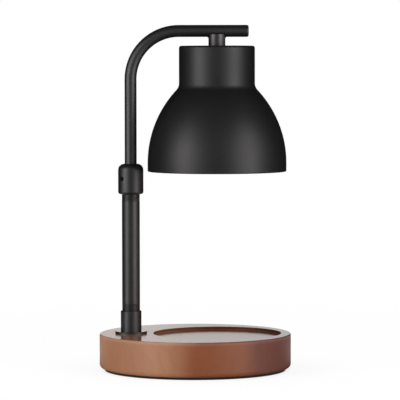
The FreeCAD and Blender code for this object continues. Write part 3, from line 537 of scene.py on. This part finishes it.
def wood(name, stain, grain, film, film_rough, shine):
    """Stained board: how pale its stain and how strong its grain is, then the lacquer's weight, seen from
    above and seen at a very low angle, its roughness, and the wood's own shine."""
    material, net = new_finish(name)
    place = net.place()
    fibre = net.noise(net.stretched(place, (0.035, 1, 1)), 0.55, 4, 0.6)
    pore = net.noise(net.stretched(place, (0.09, 1, 1)), 0.34, 1).rise(0.66, 0.78)

    colour = stain_with_painted_light(net, place, dark_wood(net, place) * grain)
    darker = net.mix(1.0, colour, tuple(stain * part for part in DARK_FIBRE), "MULTIPLY")
    paler = net.mix(1.0, colour, (stain * PALE_FIBRE,) * 3, "MULTIPLY")
    colour = net.mix((fibre - 0.5) * 0.9 + 0.5, darker, paler)
    colour = net.mix(pore * 0.35, colour, PORE_COLOUR)

    x, y, z = net.axes(place)
    # paler upper edge: partly wear, partly a painted highlight, stronger towards the post
    wear_and_highlight = (x * x + y * y).root().rise(*PALE_EDGE_REACH) * z.rise(*PALE_EDGE_HEIGHT)
    pale_edge_strength = 0.22 + (1 - x.rise(*PALER_TOWARDS_POST)) * 0.38
    colour = net.mix(wear_and_highlight * pale_edge_strength, colour, WEAR_AND_HIGHLIGHT_COLOUR)

    from_above, at_low_angle = film
    coat = from_above + net.low_angle() * (at_low_angle - from_above) - pore * 0.1
    gloss = 0.52 + (fibre - 0.5) * 0.16 + pore * 0.2
    relief = net.bump(fibre * 0.6 - pore, 0.012)
    close_finish(material, net, Base_Color=colour, Roughness=gloss, Normal=relief, Specular_IOR_Level=shine,
                 Coat_Weight=coat, Coat_Roughness=film_rough)
    return material


stained_wood = wood("stained_wood", stain=0.98, grain=0.16, film=(0.28, 0.28), film_rough=0.40, shine=0.30)
polished_wood = wood("polished_wood", stain=0.80, grain=0.50, film=(0.10, 0.84), film_rough=0.14, shine=0.15)
# painted shade: the wall of the recess gets a darker stain
pooled_wood = wood("pooled_wood", stain=0.42, grain=0.30, film=(0.20, 0.20), film_rough=0.40, shine=0.15)

# %% [markdown]
# ## The pad under the base
#
# A disc of closed-cell foam keeps the base from sliding.  Its cells are tiny bubbles cut open.  Modelled
# one by one they would be millions of faces, so cell noise gives both the relief and the slightly lighter
# walls between the bubbles.  On the shade's side the pad's rim is painted brown, a painted light on that
# side.

# %% Foam
CELL = 0.7 * MM
PAD_RIM_PAINTED_LIGHT = (0.150, 0.062, 0.040)
PAD_RIM = (EDGE_RADIUS - 1.6 * MM, EDGE_RADIUS - 1.2 * MM)
PAD_LIT_SIDE = (25 * MM, 60 * MM)

pad_foam, net = new_finish("pad_foam")
place = net.place()
x, y, _ = net.axes(place)
walls = net.node("ShaderNodeTexVoronoi", {"feature": "F1"}, place, Scale=1 / CELL).rise(0.25, 0.7)
dust = net.noise(place, 9, 4)
colour = net.mix(walls * 0.6 + (dust - 0.5) * 0.5, (0.010, 0.010, 0.011), (0.028, 0.027, 0.026))
# painted light: the pad's rim on the +X side is mixed towards brown
painted_light = (x * x + y * y).root().rise(*PAD_RIM) * x.rise(*PAD_LIT_SIDE)
colour = net.mix(painted_light * 0.8, colour, PAD_RIM_PAINTED_LIGHT)
rough = 0.86 + (dust - 0.5) * 0.1
close_finish(pad_foam, net, Base_Color=colour, Roughness=rough, Normal=net.bump(walls, 0.05))

# %% [markdown]
# ## Inside the shade
#
# The inside is sprayed warm white so that it throws the light down.  Plain white would do from afar, but
# spray leaves a dry, slightly rough dust, which a coarse and a fine noise show.  Heat over the bulb yellows
# the paint a little towards the top, so height on the shade mixes in a warmer tone.

# %% White spray
HEAT_STARTS = 30

white_spray, net = new_finish("shade_inside")
place = net.place()
_, _, z = net.axes(place)
dust = net.noise(place, 0.35, 3)
cloud = net.noise(place, 30, 2)
warmed = z.rise((shade_low.z + HEAT_STARTS) * MM, shade_high.z * MM)
colour = net.mix(warmed * 0.6 + (cloud - 0.5) * 0.3, (0.80, 0.785, 0.74), (0.71, 0.66, 0.56))
colour = net.mix((1 - dust) * 0.25, colour, (0.56, 0.54, 0.50))
rough = 0.62 + (dust - 0.5) * 0.2
close_finish(white_spray, net, Base_Color=colour, Roughness=rough, Normal=net.bump(dust, 0.03))

# %% [markdown]
# ## Bare and plated metals
#
# Nuts, washers, nipples and the bracket are zinc-plated; the set screw and snap rings are blackened; the
# contacts are brass and the bulb's pins are nickel.  Four separate materials would repeat the same nodes,
# so they share one recipe with different colours: a brushed or rolled streak, a cloudy stain and a
# roughness that follows both.

# %% Plated metals
def plated(name, light, dark, gloss, streak_mm, metallic=1.0):
    """A metal between two tones with rolled streaks and stains."""
    material, net = new_finish(name)
    place = net.place()
    streak = net.noise(net.stretched(place, (1, 1, 0.06)), streak_mm, 3)
    stain = net.noise(place, 4.5, 4, 0.6)
    colour = net.mix(streak * 0.4 + stain.rise(0.35, 0.75) * 0.6, light, dark)
    rough = gloss + (streak - 0.5) * 0.14 + (stain - 0.5) * 0.16
    relief = net.bump(streak, 0.006)
    close_finish(material, net, Base_Color=colour, Metallic=metallic, Roughness=rough, Normal=relief)
    return material


zinc_steel = plated("zinc_steel", (0.62, 0.63, 0.65), (0.44, 0.45, 0.45), 0.34, 0.25)
blackened_steel = plated("blackened_steel", (0.030, 0.030, 0.032), (0.014, 0.014, 0.015), 0.38, 0.2, 0.6)
contact_brass = plated("contact_brass", (0.72, 0.50, 0.20), (0.50, 0.33, 0.13), 0.30, 0.2)
pin_metal = plated("pin_metal", (0.68, 0.66, 0.62), (0.50, 0.48, 0.45), 0.25, 0.15)

# %% [markdown]
# ## Ceramic, rubber and nylon
#
# The lamp holder and the bulb's foot are unglazed steatite, a chalky white with tiny dark specks.  The cord
# bush is moulded rubber with a faint bloom, and the guide bush is milky nylon.  All three could be plain
# colours, since they are small, but up close the specks, the bloom and the lines of flow tell them apart.

# %% Ceramic
white_ceramic, net = new_finish("white_ceramic")
place = net.place()
chalk = net.noise(place, 3, 4)
speck = net.noise(place, 0.3, 1).rise(0.70, 0.76)
colour = net.mix(chalk, (0.74, 0.72, 0.67), (0.63, 0.61, 0.56))
colour = net.mix(speck * 0.5, colour, (0.20, 0.18, 0.15))
rough = 0.55 + (chalk - 0.5) * 0.2
close_finish(white_ceramic, net, Base_Color=colour, Roughness=rough, Normal=net.bump(chalk, 0.02))

# %% Rubber
grommet_rubber, net = new_finish("grommet_rubber")
place = net.place()
bloom = net.noise(place, 2.2, 3)
grain = net.noise(place, 0.2, 2)
colour = net.mix(bloom.rise(0.4, 0.8) * 0.6, (0.012, 0.012, 0.013), (0.034, 0.033, 0.032))
rough = 0.66 + (bloom - 0.5) * 0.2
close_finish(grommet_rubber, net, Base_Color=colour, Roughness=rough, Normal=net.bump(grain, 0.015))

# %% Nylon
nylon, net = new_finish("nylon")
flow = net.noise(net.stretched(net.place(), (1, 1, 0.2)), 2.5, 3)
colour = net.mix(flow, (0.66, 0.64, 0.56), (0.74, 0.73, 0.68))
rough = 0.42 + (flow - 0.5) * 0.2
close_finish(nylon, net, Base_Color=colour, Roughness=rough, Normal=net.bump(flow, 0.01))

# %% [markdown]
# ## Glass and mirror
#
# The bulb's bowl is glass with a thin mirror inside, made of layers that let heat through to the back.
# Such layers tint what they mirror, gold one way and violet the other.  The layers themselves can't be
# modelled, so a metal shader takes its tint from the angle of view.

# %% Mirror
reflector_glass, net = new_finish("reflector_glass")
tint = net.node("ShaderNodeLayerWeight", None, 0.35).out("Facing")
waves = net.noise(net.place(), 5, 2)
colour = net.mix(tint.rise(0.2, 0.9), (0.78, 0.76, 0.73), (0.62, 0.55, 0.66))
colour = net.mix(waves * 0.25, colour, (0.70, 0.62, 0.45))
rough = 0.05 + waves * 0.05
relief = net.bump(waves, 0.01)
close_finish(reflector_glass, net, Base_Color=colour, Metallic=0.92, Roughness=rough, Normal=relief)

# %% [markdown]
# The front glass and the capsule are clear.  Perfect glass would hardly show, so their faint waves, which
# come from pressing, and a touch of haze keep them visible.

# %% Clear glass
clear_glass, net = new_finish("clear_glass")
place = net.place()
waves = net.noise(place, 3.2, 2)
haze = net.noise(place, 11, 3)
colour = net.mix(haze, (0.97, 0.98, 0.98), (0.93, 0.95, 0.94))
relief = net.bump(waves, 0.02)
close_finish(clear_glass, net, Base_Color=colour, IOR=1.47, Roughness=haze * 0.06, Transmission_Weight=1.0,
             Normal=relief)

# %% [markdown]
# ## Which piece wears which finish
#
# The CAD record already sorts the pieces into slots, and each slot has one finish here, so no piece has to
# be named twice.  Only the turned parts of the post differ from the rest of their slot.  A CAD mesh keeps
# its points, so a finish only goes into its material slots.

# %% Finishes on the pieces
finish_of_slot = {
    "stained_wood": stained_wood,
    "black_coat": black_coat,
    "pad_foam": pad_foam,
    "grommet_rubber": grommet_rubber,
    "zinc_steel": zinc_steel,
    "blackened_steel": blackened_steel,
    "nylon": nylon,
    "black_plastic": grommet_rubber,
    "white_ceramic": white_ceramic,
    "contact_brass": contact_brass,
    "pin_metal": pin_metal,
    "reflector_glass": reflector_glass,
    "clear_glass": clear_glass,
}
turned_parts = {
    "foot_flange": post_lacquer,
    "foot_socket": post_lacquer,
    "lower_tube": post_lacquer,
    "height_collar": black_lacquer,
    "upper_tube": slid_lacquer,
    "arm_end_plug": black_lacquer,
    "shade_stem": stem_lacquer,
}
for item in frame["record"]["subparts"]:
    mesh = nodes[item["node"]].data
    mesh.materials.clear()
    mesh.materials.append(turned_parts.get(item["node"], finish_of_slot[item["material_slot"]]))
print({name: piece.data.materials[0].name for name, piece in nodes.items()})

# %% [markdown]
# ## More than one finish on a piece
#
# The wooden disc is one mesh, and so is the shade.  They could be cut apart, but then their edges would
# show.  Instead the faces are sorted by where they are and which way they look, and one helper puts the
# chosen ones into a new material slot.  On the disc, what looks up, down to the small round at the upper
# edge, is polished, and the wall of the recess is painted darker, a painted shade.  The flat top of the
# flange was faced on the lathe, so its lacquer is glossier than that of the rest of the post.

# %% Finishes on chosen faces
FACES_UP = 0.35
FACED_FLAT = 0.9
RECESS_REACH = 4 * MM
OUTER_ROUND = 1.5 * MM


def dress(name, finish, chosen):
    """Gives the chosen faces of a CAD piece one more finish."""
    mesh = nodes[name].data
    mesh.materials.append(finish)
    faces = [face for face in mesh.polygons if chosen(face)]
    for face in faces:
        face.material_index = len(mesh.materials) - 1
    print(len(faces), "of", len(mesh.polygons), "faces of", name, "wear", finish.name)


def in_recess_wall(face):
    """Whether a face of the disc stands upright near its top, inside its outer edge."""
    near_top = face.center.z > WOOD_TOP - RECESS_REACH
    within_edge = math.hypot(face.center.x, face.center.y) < EDGE_RADIUS - OUTER_ROUND
    return near_top and within_edge and abs(face.normal.z) < FACES_UP


dress("base_disc", polished_wood, lambda face: face.normal.z > FACES_UP)
dress("foot_flange", rim_lacquer, lambda face: face.normal.z > FACED_FLAT)
# painted shade on the wall of the recess
dress("base_disc", pooled_wood, in_recess_wall)

# %% [markdown]
# ## The shade is black outside and white inside
#
# A face of the spun sheet belongs to the inside when it looks at the shade's axis, or looks down from under
# the flat top.  The folded hem stays black, because the outer coat wraps round it.

# %% Two-sided shade
HEM_HIGH = 1.2 * MM
TOP_SHEET = 5 * MM
axis = Vector(((shade_low.x + shade_high.x) / 2, (shade_low.y + shade_high.y) / 2, 0)) * MM


def inside_shade(face):
    """Whether a face of the shade belongs to its white inside."""
    outward = face.center - axis
    outward.z = 0
    looks_in = face.normal.dot(outward.normalized()) < -0.1
    under_top = face.normal.z < -0.9 and face.center.z > shade_high.z * MM - TOP_SHEET
    return (looks_in or under_top) and face.center.z > shade_low.z * MM + HEM_HIGH


dress("shade", white_spray, inside_shade)

# %% [markdown]
# ## Rows of points make a skin
#
# The bulb's own pieces look better as dense meshes than as CAD solids.  All of them are round, but none is
# plainly turned, as Blender's Screw modifier would make them: the mirror has facets, and the capsule has a
# flat pinched end.  So each piece is a stack of closed rows of points, and the faces go from row to row.

# %% A skin over rows
SHARP_ANGLE = math.radians(32)


def faces_between(rows, closed):
    """Faces from each row of points to the next; a closed stack goes on from its last row to its first."""
    across = len(rows[0])
    pairs = list(zip(range(len(rows)), range(1, len(rows))))
    if closed:
        pairs.append((len(rows) - 1, 0))
    faces = []
    for low, high in pairs:
        for i in range(across):
            after = (i + 1) % across
            faces.append((low * across + i, low * across + after, high * across + after, high * across + i))
    if not closed:
        last_row = (len(rows) - 1) * across
        faces += [tuple(range(across)), tuple(range(last_row, last_row + across))]
    return faces


def skin(name, rows, body, node, finish, closed=False):
    """A mesh over closed rows of points in millimetres; it stands for a CAD node and rides on a body."""
    mesh = bpy.data.meshes.new(name)
    points = [Vector(point) * MM for row in rows for point in row]
    mesh.from_pydata(points, [], faces_between(rows, closed))
    piece_bm = bmesh.new()
    piece_bm.from_mesh(mesh)
    bmesh.ops.recalc_face_normals(piece_bm, faces=piece_bm.faces)
    piece_bm.to_mesh(mesh)
    piece_bm.free()
    mesh.materials.append(finish)
    mesh.shade_smooth()
    mesh.set_sharp_from_angle(angle=SHARP_ANGLE)
    piece = bpy.data.objects.new(name, mesh)
    bpy.context.scene.collection.objects.link(piece)
    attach(piece, body)
    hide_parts(node)
    print(name, len(mesh.vertices), "points")


# %% [markdown]
# ## Round rows
#
# Both pieces stand on the bulb's axis, so one helper lays a row of points round it.  A squash below 1
# flattens the row, which the pinched end of the capsule needs.

# %% A round row
FACETS_AROUND = 28
FINE = 4

bowl_low, bowl_high = corners_mm("bulb_reflector")
bulb_x = (bowl_low.x + bowl_high.x) / 2


def round_row(radius, height, across=FACETS_AROUND * FINE, squash=1.0):
    """A closed row of points round the bulb's axis; radius may be a number or a list of them."""
    radii = radius if isinstance(radius, list) else [radius] * across
    row = []
    for i in range(across):
        turn = 2 * math.pi * i / across
        row.append((bulb_x + radii[i] * math.cos(turn), radii[i] * math.sin(turn) * squash, height))
    return row


print("bulb axis at x", round(bulb_x, 2), "mm")

# %% [markdown]
# ## The faceted mirror
#
# A reflector bulb spreads its light evenly because its mirror is pressed into rows of small facets, each a
# shallow dimple, with every second row shifted by half a facet.  A bump in the material could fake them,
# but their outlines would stay smooth.  So the wall is worked out point by point: a bulging line from the
# neck to the rim gives the radius, and each point between two facet borders lies a little deeper than the
# borders.  The outside is smooth, and the rim is thick and has a ledge for the front glass.

# %% Faceted bowl
FACET_RINGS = 8
FACET_DEPTH = 0.42
BOWL_WALL = 1.4
BOWL_RIM = 4.0
NECK_RADIUS = 10.5
BOWL_BULGE = 3.3
BULGE_OUT = 0.91
BULGE_UP = 0.41

rim_radius = (bowl_high.x - bowl_low.x) / 2
rim_top = bowl_low.z + BOWL_RIM


def bowl_point(share, wall):
    """Radius and height on the bowl: share is 0 at the neck and 1 at the rim, and wall is how far in the
    surface lies at the neck, which doubles by the rim."""
    bulge = BOWL_BULGE * 4 * share * (1 - share)
    radius = NECK_RADIUS - wall + (rim_radius - NECK_RADIUS - wall) * share + bulge * BULGE_OUT
    return radius, bowl_high.z + (rim_top - bowl_high.z) * share + bulge * BULGE_UP


def dimpled(share, radius):
    """The radii of one inner row, raised towards the axis along the borders of its facets."""
    ring, up = divmod(share * FACET_RINGS, 1)
    flat = 1 - (2 * up - 1) ** 2
    radii = []
    for i in range(FACETS_AROUND * FINE):
        along = (i / FINE + ring % 2 / 2) % 1
        radii.append(radius - FACET_DEPTH * (1 - flat * (1 - (2 * along - 1) ** 2)))
    return radii


steps = FACET_RINGS * FINE
bowl_rows = []
for step in range(steps + 1):
    radius, height = bowl_point(step / steps, BOWL_WALL)
    bowl_rows.append(round_row(dimpled(step / steps, radius), height))
rim_line = [
    (rim_radius - BOWL_WALL, rim_top),
    (rim_radius - BOWL_WALL, bowl_low.z + 0.3),
    (rim_radius - 0.9, bowl_low.z),
    (rim_radius - 0.4, bowl_low.z),
    (rim_radius, bowl_low.z + 0.5),
    (rim_radius, rim_top - 0.3),
]
bowl_rows += [round_row(radius, height) for radius, height in rim_line]
bowl_rows += [round_row(*bowl_point(step / steps, 0)) for step in range(steps, -1, -1)]
skin("faceted_bowl", bowl_rows, "bulb", "bulb_reflector", reflector_glass, closed=True)

# %% [markdown]
# ## The capsule
#
# Inside the mirror stands a small quartz capsule.  Its lower end is a dome with a sealing tip; its upper
# end was heated and pinched flat round two leads.  Rows of points that grow flatter towards the top give
# that shape without any sculpting.

# %% Quartz capsule
CAPSULE_ACROSS = 32
SEALING_TIP = ((0.25, 0.0), (0.45, 0.25), (0.55, 0.7))
DOME_START = 0.6
DOME_DEGREES = range(20, 91, 10)
PINCH_LONG = 6.5
PINCH = ((0.0, 1.0, 1.0), (1.2, 0.86, 1.0), (2.2, 0.5, 0.97), (3.0, 0.36, 0.92), (PINCH_LONG, 0.34, 0.90))

capsule_low, capsule_high = corners_mm("bulb_capsule")
capsule_radius = (capsule_high.x - capsule_low.x) / 2
capsule_rows = [round_row(radius, capsule_low.z + up, CAPSULE_ACROSS) for radius, up in SEALING_TIP]
for degrees in DOME_DEGREES:
    turn = math.radians(degrees)
    height = capsule_low.z + DOME_START + capsule_radius * (1 - math.cos(turn))
    capsule_rows.append(round_row(capsule_radius * math.sin(turn), height, CAPSULE_ACROSS))
pinch_foot = capsule_high.z - PINCH_LONG
for up, squash, share in PINCH:
    capsule_rows.append(round_row(capsule_radius * share, pinch_foot + up, CAPSULE_ACROSS, squash))
skin("quartz_capsule", capsule_rows, "bulb", "bulb_capsule", clear_glass)

# %% [markdown]
# ## The filament
#
# The filament between the leads is a coil of thin tungsten wire.  It could be a mesh tube, but a curve with
# a round section is made from its path alone: up one lead, round the coil, and back along the other.

# %% Filament
COIL_TURNS = 11
COIL_RADIUS = 0.75
COIL_HIGH = 4.6
COIL_STEPS = 12
COIL_FROM_TIP = 4.2
LEAD_APART = 2.2
LEADS_END_BELOW = 0.6
WIRE_RADIUS = 0.11

tungsten = plated("tungsten", (0.30, 0.30, 0.31), (0.16, 0.16, 0.17), 0.42, 0.1)
coil_low = capsule_low.z + COIL_FROM_TIP
coil_high = coil_low + COIL_HIGH
leads_end = capsule_high.z - LEADS_END_BELOW
path = [
    (bulb_x - LEAD_APART, 0, leads_end),
    (bulb_x - LEAD_APART, 0, coil_low + 1.0),
    (bulb_x - COIL_RADIUS, 0, coil_low - 0.3),
]
for step in range(COIL_TURNS * COIL_STEPS + 1):
    turn = 2 * math.pi * step / COIL_STEPS
    height = coil_low + COIL_HIGH * step / (COIL_TURNS * COIL_STEPS)
    path.append((bulb_x - COIL_RADIUS * math.cos(turn), COIL_RADIUS * math.sin(turn), height))
path += [
    (bulb_x + COIL_RADIUS, 0, coil_high + 0.3),
    (bulb_x + LEAD_APART, 0, coil_high + 0.8),
    (bulb_x + LEAD_APART, 0, leads_end),
]

wire = bpy.data.curves.new("filament", "CURVE")
wire.dimensions = "3D"
wire.bevel_depth = WIRE_RADIUS * MM
wire.bevel_resolution = 2
line = wire.splines.new("POLY")
line.points.add(len(path) - 1)
for point, place_mm in zip(line.points, path):
    point.co = (*(Vector(place_mm) * MM), 1)
wire.materials.append(tungsten)
filament = bpy.data.objects.new("filament", wire)
bpy.context.scene.collection.objects.link(filament)
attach(filament, "bulb")
print("filament", COIL_TURNS, "turns")

# %% [markdown]
